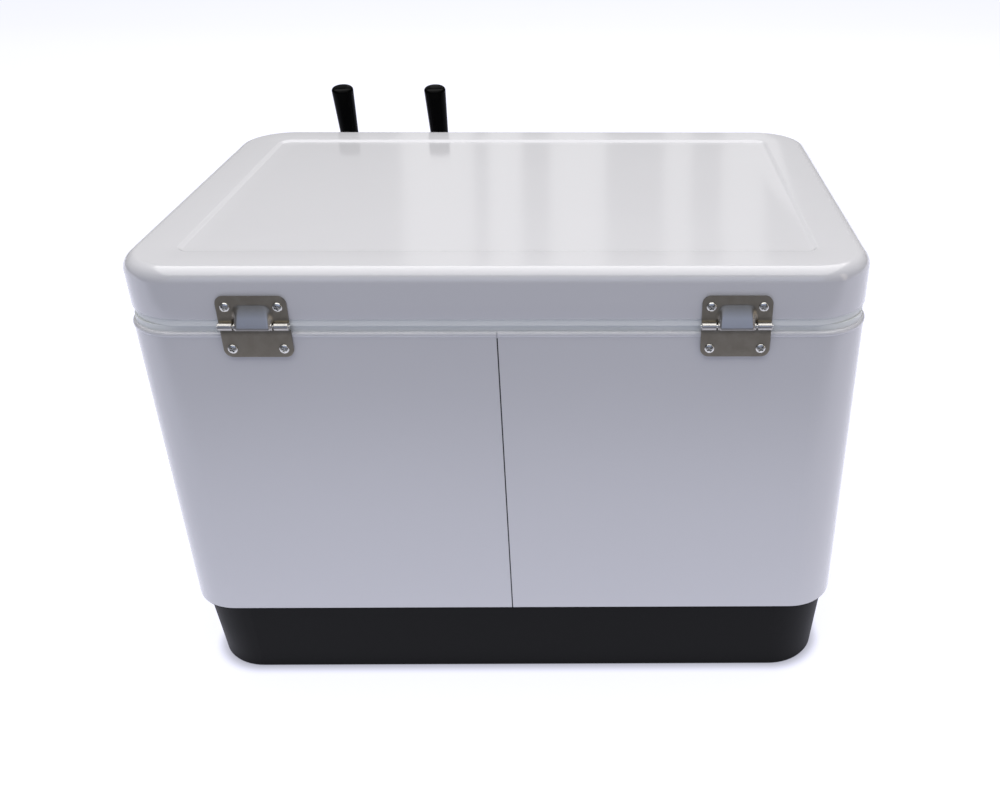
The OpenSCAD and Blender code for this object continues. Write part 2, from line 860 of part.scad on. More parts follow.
// Routes of the beer lines, inside the tub, from their first end to their last
supply_route = [
  [tail_x, -40, inlet_z], [tail_x - 12, -40, inlet_z], [tail_x - 26, -38, inlet_z - 12],
  [tail_x - 34, -35, inlet_z - 40], [tail_x - 38, -31, 100], [tail_x - 46, -27, 74],
  [fitting_x + 13, -25, plate_mid_z], [fitting_x, -25, plate_mid_z]
];
left_tap_x = tap_places[0];
right_tap_x = tap_places[1];
left_tap_route = [
  [fitting_x, -75, plate_mid_z], [fitting_x + 15, -75, plate_mid_z], [fitting_x + 32, -76, 74],
  [fitting_x + 40, -78, 102], [fitting_x + 37, -76, 150], [left_tap_x + 61, -68, tap_z - 100],
  [left_tap_x + 33, -62, tap_z - 58], [left_tap_x + 11, -63, tap_z - 26],
  [left_tap_x, -78, tap_z - 6], [left_tap_x, tail_y + 23, tap_z], [left_tap_x, tail_y, tap_z]
];
right_tap_route = [
  [fitting_x, 75, plate_mid_z], [fitting_x + 15, 75, plate_mid_z], [fitting_x + 34, 73, 72],
  [fitting_x + 51, 64, 98], [fitting_x + 64, 40, 138], [right_tap_x + 5, 5, tap_z - 110],
  [right_tap_x + 5, -30, tap_z - 66], [right_tap_x + 2, -58, tap_z - 30],
  [right_tap_x, -80, tap_z - 5], [right_tap_x, tail_y + 21, tap_z], [right_tap_x, tail_y, tap_z]
];

// Point at t from 0 to 1 on a smooth curve between b and c, with a and d beside them
function between(a, b, c, d, t) =
  0.5 * (2 * b + (c - a) * t + (2 * a - 5 * b + 4 * c - d) * t * t + (3 * b - a - 3 * c + d) * t * t * t);

// The first and last stretches stay straight, so that each end is square to its hose tail
function smooth_route(p, n) = concat(
  [p[0]],
  [for (i = [1 : len(p) - 3], j = [0 : n - 1])
    between(p[i - 1], p[i], p[i + 1], p[i + 2], j / n)],
  [p[len(p) - 2], p[len(p) - 1]]
);

function unit(v) = v / norm(v);
function heading(p, i) = unit(p[min(i + 1, len(p) - 1)] - p[max(i - 1, 0)]);
side_guide = unit([1, 1, -0.8]);

// Closed tube of radius r along the points of p
module tube_along(p, r) {
  n = len(p);
  s = line_sides;
  rings = [for (i = [0 : n - 1])
    let (h = heading(p, i), u = unit(cross(h, side_guide)), v = cross(h, u))
      for (k = [0 : s - 1])
        p[i] + r * (cos(360 * k / s) * u + sin(360 * k / s) * v)];
  walls = [for (i = [0 : n - 2], k = [0 : s - 1])
    [i * s + k, i * s + (k + 1) % s, (i + 1) * s + (k + 1) % s, (i + 1) * s + k]];
  first = [for (k = [0 : s - 1]) s - 1 - k];
  last = [for (k = [0 : s - 1]) (n - 1) * s + k];
  triangles = [for (q = walls, t = [[q[0], q[1], q[2]], [q[0], q[2], q[3]]]) t];
  outward = [for (f = concat(triangles, [first, last])) [for (m = [len(f) - 1 : -1 : 0]) f[m]]];
  polyhedron(points = rings, faces = outward);
}

module supply_line(side) {
  route = [for (q = supply_route) [q[0], side * q[1], q[2]]];
  color(line_clear)
    tube_along(smooth_route(route, 3), line_r);
}

module tap_line(route) {
  color(line_clear)
    tube_along(smooth_route(route, 3), line_r);
}

inlet_flange_t = 4;
inlet_thread_l = 24;

module inlet_shank(y) {
  color(bright_steel)
    translate([0, y, inlet_z])
      difference() {
        union() {
          rod_x(0, 0, shank_r, tub_inner_x - 14, end_x + inlet_flange_t + inlet_thread_l);
          rod_x(0, 0, 19, end_x, end_x + inlet_flange_t);
          translate([tub_inner_x - 14, 0, 0])
            rotate([0, -90, 0])
              hose_tail(tail_l - 14);
        }
        rod_x(0, 0, 2.6, tail_x - 1, end_x + 60);
      }
}

module inlet_nuts() {
  color(bright_steel)
    for (y = inlet_places)
      translate([tub_inner_x - 8, y, inlet_z])
        rotate([0, 90, 0])
          hex_nut(shank_nut_af, 8, shank_r + run_gap);
}

// ---- Taps ----

flange_t = 6;
flange_r = 24;
thread_out = 13;
pivot_out = 72;
pivot_rise = 17;
pivot_y = front_y - pivot_out;
pivot_z = tap_z + pivot_rise;
ball_r = 6.5;
neck_r = 3.5;
arm_r = 2.6;
arm_l = 19;
shaft_r = 4.94;
slot_room = 2;
pivot_pin_r = 2;
pivot_pin_l = 24.8;
barrel_r = 11;
ferrule_low = 27;
handle_low = 40;

module shank_flange(x) {
  color(bright_steel)
    translate([x, front_y, tap_z])
      rotate([90, 0, 0])
        rotate_extrude()
          polygon([
            [shank_r + run_gap, 0], [flange_r, 0], [flange_r, 1.5], [flange_r - 2, 3.2],
            [flange_r - 6, 4.8], [flange_r - 10, flange_t], [shank_r + run_gap, flange_t]
          ]);
}

module tap_shank(x) {
  color(bright_steel)
    translate([x, 0, 0])
      difference() {
        union() {
          rod_y(0, tap_z, shank_r, front_y - thread_out, tub_inner_y + 14);
          translate([0, tub_inner_y + 14, tap_z])
            rotate([-90, 0, 0])
              hose_tail(tail_l - 14);
        }
        rod_y(0, tap_z, 2.6, front_y - 20, tail_y + 1);
      }
}

module shank_nuts() {
  color(bright_steel)
    for (x = tap_places)
      translate([x, tub_inner_y + 8, tap_z])
        rotate([90, 0, 0])
          hex_nut(shank_nut_af, 8, shank_r + run_gap);
}

module coupling_nut(x) {
  nut_r = 16.5;
  nut_start = flange_t + 0.2;
  nut_end = 22;
  color(bright_steel)
    translate([x, front_y, tap_z])
      rotate([90, 0, 0])
        difference() {
          rotate_extrude()
            polygon([
              [8.3, nut_end], [nut_r - 2.5, nut_end], [nut_r, nut_end - 2.5], [nut_r, nut_start + 1],
              [nut_r - 1, nut_start], [shank_r + run_gap, nut_start], [shank_r + run_gap, 16.3], [8.3, 16.3]
            ]);
          for (a = [0 : 60 : 300])
            rotate([0, 0, a])
              translate([nut_r + 1.2, 0, nut_start + 4])
                cylinder(r = 2.6, h = 12);
        }
}

spout_angle = 35;
spout_l = 66;
spout_start = 36;

module faucet_body(x) {
  back = pivot_out - 13.4;
  color(bright_steel)
    translate([x, pivot_y, tap_z])
      difference() {
        union() {
          rod_y(0, 0, barrel_r, -16, back - 11);
          rod_y(0, 0, 8, back - 12, back);
          rod_y(0, 0, shank_r - 0.4, back - 2.7, back);
          cylinder(r = 12.5, h = pivot_rise - 4);
          translate([0, spout_start, 0])
            rotate([-spout_angle, 0, 0])
              translate([0, 0, -spout_l])
                cylinder(r = 7.6, h = spout_l);
        }
        rod_y(0, 0, shaft_r + run_gap, -13, back + 1);
        cylinder(r = ball_r + 1.5, h = pivot_rise);
        translate([-4, -8, -3])
          cube([8, 20.5, 12]);
        translate([0, spout_start, 0])
          rotate([-spout_angle, 0, 0])
            translate([0, 0, -spout_l - 1])
              cylinder(r = 5.2, h = spout_l);
      }
}

module faucet_bonnet(x) {
  bonnet_h = 14;
  cavity_r = ball_r + 2.7;
  color(bright_steel)
    translate([x, pivot_y, pivot_z - 4])
      difference() {
        rotate_extrude()
          polygon([
            [0, 0], [13.4, 0], [13.4, 5], [12.9, 5.5], [12.9, bonnet_h - 3],
            [11.5, bonnet_h - 1], [9.6, bonnet_h], [0, bonnet_h]
          ]);
        translate([0, 0, -1])
          cylinder(r = cavity_r, h = bonnet_h - 1.5);
        translate([-neck_r - 0.7, -9.2, 0])
          cube([2 * neck_r + 1.4, 15.7, bonnet_h + 1]);
        rod_x(0, 4, pivot_pin_r + run_gap, -20, 20);
      }
}

module at_pivot(x) {
  translate([x, pivot_y, pivot_z])
    rotate([-handle_lean, 0, 0])
      children();
}

module tap_lever(x) {
  color(bright_steel)
    at_pivot(x)
      union() {
        sphere(r = ball_r);
        cylinder(r = neck_r, h = handle_low + 12);
        translate([0, 0, -arm_l])
          cylinder(r = arm_r, h = arm_l);
        rod_x(0, 0, pivot_pin_r, -pivot_pin_l / 2, pivot_pin_l / 2);
      }
}

module tap_ferrule(x) {
  color(bright_steel)
    at_pivot(x)
      rotate_extrude()
        polygon([
          [neck_r + run_gap, ferrule_low], [6, ferrule_low], [6.8, ferrule_low + 1], [6.8, ferrule_low + 4],
          [8.4, handle_low - 2], [8.4, handle_low], [neck_r + run_gap, handle_low]
        ]);
}

module tap_handle(x) {
  top = handle_low + handle_l;
  rim = 3;
  color(tap_black)
    at_pivot(x)
      difference() {
        rotate_extrude()
          polygon(concat(
            [[0, handle_low], [8.6, handle_low]],
            [for (a = [0 : 15 : 75]) [handle_r - rim + rim * cos(a), top - rim - 1 + rim * sin(a)]],
            [[handle_r * 0.6, top - 0.5], [0, top]]
          ));
        translate([0, 0, handle_low - 1])
          cylinder(r = neck_r + run_gap, h = 14);
      }
}

module valve_shaft(x) {
  rest_tip = -(pivot_rise * sin(handle_lean));
  color(bright_steel)
    translate([x, pivot_y, tap_z])
      difference() {
        rod_y(0, 0, shaft_r, -9, pivot_out - 30);
        translate([-arm_r - 0.35, rest_tip - arm_r - slot_room, -3.8])
          cube([2 * arm_r + 0.7, 2 * (arm_r + slot_room), 10]);
      }
}

base_pan();
steel_wrap();
body_foam();
liner_tub();
hinge_lower(hinge_places[0]);  // hinge_lower_left
hinge_lower(hinge_places[1]);  // hinge_lower_right
hinge_pins();
hinge_screws(lower_screw_z, back_y + lower_leaf_t);  // body_hinge_screws
latch_catch();
latch_catch_screws();
bail_bracket(-1);  // bail_bracket_left
bail_bracket(1);  // bail_bracket_right
bail_bracket_screws();
drain_spout();
drain_nut();
drain_gasket();
cold_plate();
plate_fittings();
supply_line(1);  // supply_line_left
supply_line(-1);  // supply_line_right
tap_line(left_tap_route);  // tap_line_left
tap_line(right_tap_route);  // tap_line_right
inlet_shank(inlet_places[0]);  // inlet_shank_left
inlet_shank(inlet_places[1]);  // inlet_shank_right
inlet_nuts();
shank_flange(tap_places[0]);  // shank_flange_left
shank_flange(tap_places[1]);  // shank_flange_right
tap_shank(tap_places[0]);  // shank_left
tap_shank(tap_places[1]);  // shank_right
shank_nuts();
coupling_nut(tap_places[0]);  // coupling_nut_left
coupling_nut(tap_places[1]);  // coupling_nut_right
faucet_body(tap_places[0]);  // faucet_body_left
faucet_body(tap_places[1]);  // faucet_body_right
faucet_bonnet(tap_places[0]);  // faucet_bonnet_left
faucet_bonnet(tap_places[1]);  // faucet_bonnet_right
lid_shell();
lid_foam();
lid_liner();
hinge_upper(hinge_places[0]);  // hinge_upper_left
hinge_upper(hinge_places[1]);  // hinge_upper_right
hinge_screws(upper_screw_z, back_y + lid_overhang + leaf_t);  // lid_hinge_screws
latch_plate();
latch_plate_screws();
latch_lever();
latch_pin();
bail(-1);  // bail_left
bail(1);  // bail_right
grip(-1);  // grip_left
grip(1);  // grip_right
tap_lever(tap_places[0]);  // tap_lever_left
tap_lever(tap_places[1]);  // tap_lever_right
tap_ferrule(tap_places[0]);  // tap_ferrule_left
tap_ferrule(tap_places[1]);  // tap_ferrule_right
tap_handle(tap_places[0]);  // tap_handle_left
tap_handle(tap_places[1]);  // tap_handle_right
valve_shaft(tap_places[0]);  // valve_shaft_left
valve_shaft(tap_places[1]);  // valve_shaft_right
drain_cap();
drain_washer();
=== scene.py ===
import bpy
import bmesh
import json
import math
from mathutils import Matrix, Quaternion, Vector


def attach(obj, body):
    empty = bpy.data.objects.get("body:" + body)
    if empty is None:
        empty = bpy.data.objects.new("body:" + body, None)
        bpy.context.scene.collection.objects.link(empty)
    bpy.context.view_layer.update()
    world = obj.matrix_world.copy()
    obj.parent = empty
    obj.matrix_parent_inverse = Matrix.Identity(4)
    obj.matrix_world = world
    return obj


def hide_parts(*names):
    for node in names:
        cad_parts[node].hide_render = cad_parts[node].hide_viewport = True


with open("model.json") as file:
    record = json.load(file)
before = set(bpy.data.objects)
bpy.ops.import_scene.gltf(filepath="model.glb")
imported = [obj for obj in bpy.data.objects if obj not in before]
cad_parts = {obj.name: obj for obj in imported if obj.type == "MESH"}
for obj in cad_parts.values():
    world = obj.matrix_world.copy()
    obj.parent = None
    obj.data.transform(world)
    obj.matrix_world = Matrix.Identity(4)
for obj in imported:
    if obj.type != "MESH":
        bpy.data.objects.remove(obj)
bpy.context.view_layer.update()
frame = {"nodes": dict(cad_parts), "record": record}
nodes = frame["nodes"]
scene = bpy.context.scene
MM = 0.001
TAU = 2 * math.pi


# ---- Camera, floor and light ----

def add_camera():
    """The viewpoint stands on the chest's hinge side, and looks down at it."""
    place = Vector((-0.0860, 0.9893, 0.7368))
    pitch = 0.53265
    yaw = 0.01125
    roll = 0.0038
    focal_share = 1.0499
    centre_right = 0.1126
    centre_low = 0.0300
    ahead = Vector((-math.sin(yaw) * math.cos(pitch), -math.cos(yaw) * math.cos(pitch), -math.sin(pitch)))
    turn = ahead.to_track_quat("-Z", "Y")
    far_clip = 60.0
    data = bpy.data.cameras.new("view_camera")
    data.sensor_width = 36.0
    data.lens = focal_share * data.sensor_width
    data.shift_x = -centre_right
    data.shift_y = centre_low
    data.clip_end = far_clip
    camera = bpy.data.objects.new("view_camera", data)
    scene.collection.objects.link(camera)
    camera.location = place
    camera.rotation_mode = "QUATERNION"
    camera.rotation_quaternion = turn @ Quaternion((0, 0, 1), roll)
    scene.camera = camera


def add_area(name, place, aim, size, power, colour):
    data = bpy.data.lights.new(name, "AREA")
    data.shape = "RECTANGLE"
    data.size, data.size_y = size
    data.energy = power
    data.color = colour
    lamp = bpy.data.objects.new(name, data)
    scene.collection.objects.link(lamp)
    lamp.location = place
    lamp.rotation_mode = "QUATERNION"
    lamp.rotation_quaternion = (Vector(aim) - Vector(place)).to_track_quat("-Z", "Y")


def add_light():
    world = bpy.data.worlds.new("studio")
    world.use_nodes = True
    sky = world.node_tree.nodes["Background"]
    sky.inputs["Color"].default_value = (0.9, 0.92, 1.0, 1.0)
    sky.inputs["Strength"].default_value = 0.12
    scene.world = world
    add_area("ceiling", (0.0, -0.2, 3.0), (0, -0.2, 0.4), (4.2, 5.0), 162, (1.0, 0.985, 0.975))
    add_area("front_wall", (0.0, -3.1, 1.35), (0, 0, 0.6), (5.0, 2.2), 6, (1.0, 0.99, 0.98))
    strips = ((-0.6, 0.16, 0.25), (-0.36, 0.1, 0.15), (0.0, 0.2, 0.34), (0.26, 0.12, 0.22), (0.5, 0.26, 0.42))
    for x, width, power in strips:
        add_area("window_strip", (x, -2.6, 1.5), (x, 0, 0.42), (width, 1.6), power, (1.0, 1.0, 1.0))
    add_area("warm_side", (-2.2, 1.1, 0.75), (0, 0, 0.3), (0.35, 1.5), 3, (1.0, 0.86, 0.72))
    add_area("cool_wall", (0.0, 3.3, 1.5), (0, 0, 0.4), (3.6, 1.8), 15, (0.55, 0.66, 1.0))
    scene.view_settings.view_transform = "Standard"


def add_floor():
    floor_size = 24
    glow_full_y, glow_gone_y, glow = 0.45, 0.9, 0.97
    bpy.ops.mesh.primitive_plane_add(size=floor_size, location=(0, 0, 0))
    floor = bpy.context.object
    floor.name = "studio_floor"
    paper = surface("floor_paper", (0.19, 0.19, 0.21), (0.21, 0.21, 0.23), scale=3, rough=(0.85, 0.95),
                    emission_color=(0.88, 0.89, 1.03, 1.0))
    fade_glow(paper, glow_full_y, glow_gone_y, glow, 0.0)
    floor.data.materials.append(paper)


def fade_glow(mat, near, far, strong, weak):
    """The paper's glow falls from strong to weak towards the hinge side, beyond the main view.

    It also falls in a narrow band round the base, which stands for the shadow where the chest meets the paper.
    """
    tree = mat.node_tree
    link = tree.links.new
    place = tree.nodes.new("ShaderNodeTexCoord")
    split = tree.nodes.new("ShaderNodeSeparateXYZ")
    link(place.outputs["Object"], split.inputs["Vector"])

    def ranged(source, low, high, start, end):
        node = tree.nodes.new("ShaderNodeMapRange")
        node.interpolation_type = "SMOOTHSTEP"
        for socket, value in (("From Min", low), ("From Max", high), ("To Min", start), ("To Max", end)):
            node.inputs[socket].default_value = value
        link(source, node.inputs["Value"])
        return node.outputs["Result"]

    foot_x, foot_y, corner = 0.3003, 0.2023, 0.048
    shadow_in, shadow_out, shadow_glow = 0.002, 0.013, 0.45
    outside = place.outputs["Object"]
    for operation, value in (("ABSOLUTE", None), ("SUBTRACT", (foot_x - corner, foot_y - corner, 0.0)),
                             ("MAXIMUM", (0.0, 0.0, 0.0)), ("LENGTH", None)):
        step = tree.nodes.new("ShaderNodeVectorMath")
        step.operation = operation
        link(outside, step.inputs[0])
        if value is not None:
            step.inputs[1].default_value = value
        outside = step.outputs["Value" if operation == "LENGTH" else "Vector"]
    product = tree.nodes.new("ShaderNodeMath")
    product.operation = "MULTIPLY"
    link(ranged(split.outputs["Y"], near, far, strong, weak), product.inputs[0])
    link(ranged(outside, corner - shadow_in, corner + shadow_out, shadow_glow, 1.0), product.inputs[1])
    link(product.outputs["Value"], tree.nodes["Principled BSDF"].inputs["Emission Strength"])


# ---- Materials ----

def surface(name, dark, light, scale, rough, bump=0.0, bump_scale=300, bump_depth=0.0002, **sockets):
    """A procedural finish: two tones mixed by noise, roughness that varies, and a fine bump."""
    mat = bpy.data.materials.new(name)
    mat.use_nodes = True
    tree = mat.node_tree
    shader = tree.nodes["Principled BSDF"]
    link = tree.links.new
    place = tree.nodes.new("ShaderNodeTexCoord")
    tone = tree.nodes.new("ShaderNodeTexNoise")
    tone.inputs["Scale"].default_value = scale
    tone.inputs["Detail"].default_value = 6
    link(place.outputs["Object"], tone.inputs["Vector"])
    mix = tree.nodes.new("ShaderNodeMix")
    mix.data_type = "RGBA"
    mix.inputs["A"].default_value = (*dark, 1)
    mix.inputs["B"].default_value = (*light, 1)
    link(tone.outputs["Fac"], mix.inputs["Factor"])
    link(mix.outputs["Result"], shader.inputs["Base Color"])
    gloss = tree.nodes.new("ShaderNodeMapRange")
    gloss.inputs["To Min"].default_value = rough[0]
    gloss.inputs["To Max"].default_value = rough[1]
    link(tone.outputs["Fac"], gloss.inputs["Value"])
    link(gloss.outputs["Result"], shader.inputs["Roughness"])
    if bump > 0:
        grain = tree.nodes.new("ShaderNodeTexNoise")
        grain.inputs["Scale"].default_value = bump_scale
        grain.inputs["Detail"].default_value = 3
        link(place.outputs["Object"], grain.inputs["Vector"])
        raise_it = tree.nodes.new("ShaderNodeBump")
        raise_it.inputs["Strength"].default_value = bump
        raise_it.inputs["Distance"].default_value = bump_depth
        link(grain.outputs["Fac"], raise_it.inputs["Height"])
        link(raise_it.outputs["Normal"], shader.inputs["Normal"])
    for socket, value in sockets.items():
        shader.inputs[socket.replace("_", " ").title().replace("Ior", "IOR")].default_value = value
    return mat


def enamel():
    return surface("white_enamel", (0.595, 0.595, 0.615), (0.615, 0.615, 0.635), scale=6, rough=(0.10, 0.15),
                   bump=0.1, bump_scale=60, bump_depth=0.0003, coat_weight=0.35, coat_roughness=0.09)


def white_plastic():
    return surface("moulded_white", (0.74, 0.765, 0.75), (0.79, 0.81, 0.80), scale=30, rough=(0.32, 0.42),
                   bump=0.2, bump_scale=700)


def black_plastic():
    return surface("moulded_black", (0.005, 0.005, 0.005), (0.008, 0.008, 0.008), scale=14, rough=(0.42, 0.58),
                   bump=0.3, bump_scale=900, specular_ior_level=0.09)


def pressed_steel():
    mat = surface("pressed_steel", (0.268, 0.244, 0.198), (0.350, 0.324, 0.270), scale=180, rough=(0.3, 0.42),
                  bump=0.15, bump_scale=800, metallic=1.0)
    # Painted highlight: the hood and knuckles, standing proud towards +Y, get a lighter base colour.
    paint_proud_highlight(mat, start=0.2142, end=0.2175, tone=(0.46, 0.45, 0.43))
    return mat


def paint_proud_highlight(mat, start, end, tone):
    """Metal turns to the brighter tone from start to end along Y: a painted highlight where the hood and knuckles
    stand proud and catch the light.
    """
    tree = mat.node_tree
    place = tree.nodes.new("ShaderNodeTexCoord")
    split = tree.nodes.new("ShaderNodeSeparateXYZ")
    share = tree.nodes.new("ShaderNodeMapRange")
    share.inputs["From Min"].default_value = start
    share.inputs["From Max"].default_value = end
    blend = tree.nodes.new("ShaderNodeMix")
    blend.data_type = "RGBA"
    blend.inputs["B"].default_value = (*tone, 1)
    shader = tree.nodes["Principled BSDF"]
    plain = shader.inputs["Base Color"].links[0].from_socket
    tree.links.new(place.outputs["Object"], split.inputs["Vector"])
    tree.links.new(split.outputs["Y"], share.inputs["Value"])
    tree.links.new(share.outputs["Result"], blend.inputs["Factor"])
    tree.links.new(plain, blend.inputs["A"])
    tree.links.new(blend.outputs["Result"], shader.inputs["Base Color"])


def bright_steel():
    return surface("polished_steel", (0.62, 0.62, 0.62), (0.72, 0.72, 0.71), scale=120, rough=(0.12, 0.2),
                   bump=0.05, bump_scale=500, metallic=1.0)


def screw_steel():
    return surface("plated_screw", (0.55, 0.55, 0.53), (0.7, 0.7, 0.67), scale=300, rough=(0.2, 0.3),
                   metallic=1.0)


def gloss_black():
    return surface("gloss_black", (0.001, 0.001, 0.001), (0.0025, 0.0025, 0.0025), scale=60, rough=(0.08, 0.14),
                   bump=0.05, bump_scale=200, specular_ior_level=0.02)


def foam():
    return surface("insulation_foam", (0.62, 0.52, 0.3), (0.72, 0.63, 0.4), scale=90, rough=(0.8, 0.95),
                   bump=0.8, bump_scale=600, bump_depth=0.0006)


def cast_aluminium():
    return surface("cast_aluminium", (0.5, 0.5, 0.51), (0.64, 0.64, 0.65), scale=70, rough=(0.36, 0.52),
                   bump=0.5, bump_scale=400, bump_depth=0.0004, metallic=1.0)


def beer_line():
    return surface("beer_line", (0.72, 0.75, 0.75), (0.8, 0.82, 0.82), scale=50, rough=(0.18, 0.28),
                   transmission_weight=0.25, ior=1.45)


def seal_rubber():
    return surface("seal_rubber", (0.02, 0.02, 0.02), (0.035, 0.035, 0.035), scale=60, rough=(0.6, 0.75),
                   bump=0.3, bump_scale=900)


FINISHES = {
    "painted_steel": enamel(), "white_plastic": white_plastic(), "black_plastic": black_plastic(),
    "hinge_steel": pressed_steel(), "bright_steel": bright_steel(), "fastener_steel": screw_steel(),
    "gloss_black": gloss_black(), "foam": foam(), "cast_aluminium": cast_aluminium(),
    "beer_line": beer_line(), "seal_rubber": seal_rubber(),
}


def finish_cad_nodes():
    for part in frame["record"]["subparts"]:
        shown = nodes[part["node"]]
        for slot in shown.material_slots:
            slot.material = FINISHES[part["material_slot"]]


# ---- Mesh building ----

def piece(name, verts, faces, body, slot_name, *stands_for, sharp=38, bevel=0.0):
    """A smooth-shaded mesh that rides on a body, with its sharp edges marked or slightly rounded."""
    mesh = bpy.data.meshes.new(name)
    mesh.from_pydata([tuple(v) for v in verts], [], faces)
    work = bmesh.new()
    work.from_mesh(mesh)
    bmesh.ops.remove_doubles(work, verts=work.verts, dist=1e-6)
    bmesh.ops.recalc_face_normals(work, faces=work.faces)
    if bevel > 0:
        keen = [e for e in work.edges if len(e.link_faces) == 2 and e.calc_face_angle() > math.radians(sharp)]
        bmesh.ops.bevel(work, geom=keen, offset=bevel, segments=2, profile=0.6, affect="EDGES", clamp_overlap=True)
    for face in work.faces:
        face.smooth = True
    for edge in work.edges:
        edge.smooth = len(edge.link_faces) == 2 and edge.calc_face_angle() < math.radians(sharp)
    work.to_mesh(mesh)
    work.free()
    made = bpy.data.objects.new(name, mesh)
    scene.collection.objects.link(made)
    made.data.materials.append(FINISHES[slot_name])
    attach(made, body)
    if stands_for:
        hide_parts(*stands_for)
    return made


def rounded_ring(w, d, r, z, steps=14):
    """Points round a rounded rectangle, counterclockwise from the +X side, in metres from millimetres."""
    ring = []
    for turn, sx, sy in ((0, 1, 1), (90, -1, 1), (180, -1, -1), (270, 1, -1)):
        for i in range(steps + 1):
            angle = math.radians(turn + 90 * i / steps)
            x, y = sx * (w / 2 - r) + r * math.cos(angle), sy * (d / 2 - r) + r * math.sin(angle)
            ring.append(Vector((x, y, z)) * MM)
    return ring


def loft(rings, capped=True):
    """Quads between rings that have the same number of points, with flat caps unless capped is off."""
    count = len(rings[0])
    verts = [v for ring in rings for v in ring]
    faces = []
    for level in range(len(rings) - 1):
        for i in range(count):
            j = (i + 1) % count
            here, above = level * count, (level + 1) * count
            faces.append((here + i, here + j, above + j, above + i))
    if capped:
        faces.append(tuple(reversed(range(count))))
        faces.append(tuple(range((len(rings) - 1) * count, len(rings) * count)))
    return verts, faces


def lathe(profile, place, along, steps=64):
    """A closed turned shape: profile is (radius, height) in millimetres, along is its axis from place."""
    least_radius = 0.01
    side = along.orthogonal().normalized()
    other = along.cross(side)
    rings = []
    for radius, height in profile:
        radius = max(radius, least_radius)
        rings.append([place + along * height * MM + (side * math.cos(a) + other * math.sin(a)) * radius * MM
                      for a in (TAU * k / steps for k in range(steps))])
    return loft(rings)


def ease(t):
    """Smooth step from 0 to 1."""
    t = min(max(t, 0.0), 1.0)
    return t * t * (3 - 2 * t)


# ---- Lid ----

LID_W, LID_D, LID_R, LID_Z, LID_TOP, LID_EDGE = 620.0, 424.0, 54.0, 382.5, 424.6, 12.0
PANEL_W, PANEL_D, PANEL_R, PANEL_DEPTH, SHEET = 530.0, 338.0, 12.0, 2.0, 1.0


def lid_wall(inset, z):
    return rounded_ring(LID_W - 2 * inset, LID_D - 2 * inset, LID_R - inset, z)


def edge_turn(radius, steps):
    """Insets and heights round the lid's rounded edge, from the skirt up to the top."""
    angles = [math.pi / 2 * i / steps for i in range(steps + 1)]
    return [(LID_EDGE - radius * math.cos(a), LID_TOP - LID_EDGE + radius * math.sin(a)) for a in angles]


def panel_ring(spread, z):
    return rounded_ring(PANEL_W + 2 * spread, PANEL_D + 2 * spread, PANEL_R + spread, z)


def make_lid_shell():
    """Pressed steel lid: rolled hem, upright skirt, rounded edge and a softly stepped, slightly crowned panel."""
    under = LID_TOP - PANEL_DEPTH - SHEET
    rings = [rounded_ring(PANEL_W * 0.1, PANEL_D * 0.1, 1.0, under), panel_ring(1.0, under),
             panel_ring(2.0, LID_TOP - SHEET)]
    rings += [lid_wall(inset, z) for inset, z in reversed(edge_turn(LID_EDGE - SHEET, 8))]
    hem, hem_steps = 0.5, 8
    for i in range(hem_steps + 1):
        angle = math.pi * i / hem_steps
        rings.append(lid_wall(hem + hem * math.cos(angle), LID_Z + hem - hem * math.sin(angle)))
    rings.append(lid_wall(0.0, LID_Z + 14))
    rings += [lid_wall(inset, z) for inset, z in edge_turn(LID_EDGE, 20)]
    outer, slope, steps, crown = 1.8, 5.0, 10, 0.55
    inner = slope - outer
    for i in range(steps + 1):
        share = i / steps
        rings.append(panel_ring(outer - slope * share, LID_TOP - PANEL_DEPTH * ease(share)))
    for share in (0.94, 0.8, 0.6, 0.4, 0.2, 0.04):
        w, d = (PANEL_W - 2 * inner) * share, (PANEL_D - 2 * inner) * share
        rise = crown * (1 - share ** 2)
        rings.append(rounded_ring(w, d, (PANEL_R - inner) * share, LID_TOP - PANEL_DEPTH + rise))
    verts, faces = loft(rings)
    piece("lid_shell_pressed", verts, faces, "lid", "painted_steel", "lid_shell", sharp=50)


# ---- Hinges ----

HINGE_Y, HINGE_Z, HINGE_W, KNUCKLE_R = 215.8, 378.0, 57.0, 3.3
SPLIT, LEAF_Y, LEAF_T, LEAF_R, HINGE_X = 15.5, 212.0, 1.5, 7.0, 195.0


def sheet(name, columns, rows, shape, keep, thick, body, stands_for, x0, bevel=0.22):
    """Pressed sheet over a grid of x columns and z rows; shape gives each point, keep leaves cells out."""
    work = bmesh.new()
    grid = [[work.verts.new(shape(i, j)) for i in range(len(columns))] for j in range(len(rows))]
    for j in range(len(rows) - 1):
        for i in range(len(columns) - 1):
            if keep((columns[i] + columns[i + 1]) / 2, (rows[j] + rows[j + 1]) / 2):
                work.faces.new((grid[j][i], grid[j][i + 1], grid[j + 1][i + 1], grid[j + 1][i]))
    bmesh.ops.delete(work, geom=[v for v in work.verts if not v.link_faces], context="VERTS")
    bmesh.ops.recalc_face_normals(work, faces=work.faces)
    if sum(f.normal.y * f.calc_area() for f in work.faces) < 0:
        bmesh.ops.reverse_faces(work, faces=work.faces)
    bmesh.ops.solidify(work, geom=work.faces[:] + work.edges[:] + work.verts[:], thickness=thick * MM)
    verts = [v.co + Vector((x0 * MM, 0, 0)) for v in work.verts]
    work.verts.index_update()
    faces = [tuple(v.index for v in f.verts) for f in work.faces]
    work.free()
    return piece(name, verts, faces, body, "hinge_steel", *stands_for, sharp=42, bevel=bevel * MM)


def spaced(marks, pitch):
    """Values from the first mark to the last that hit every mark, with steps no longer than pitch."""
    values = [marks[0]]
    for a, b in zip(marks, marks[1:]):
        n = max(1, math.ceil(abs(b - a) / pitch))
        values += [a + (b - a) * k / n for k in range(1, n + 1)]
    return values


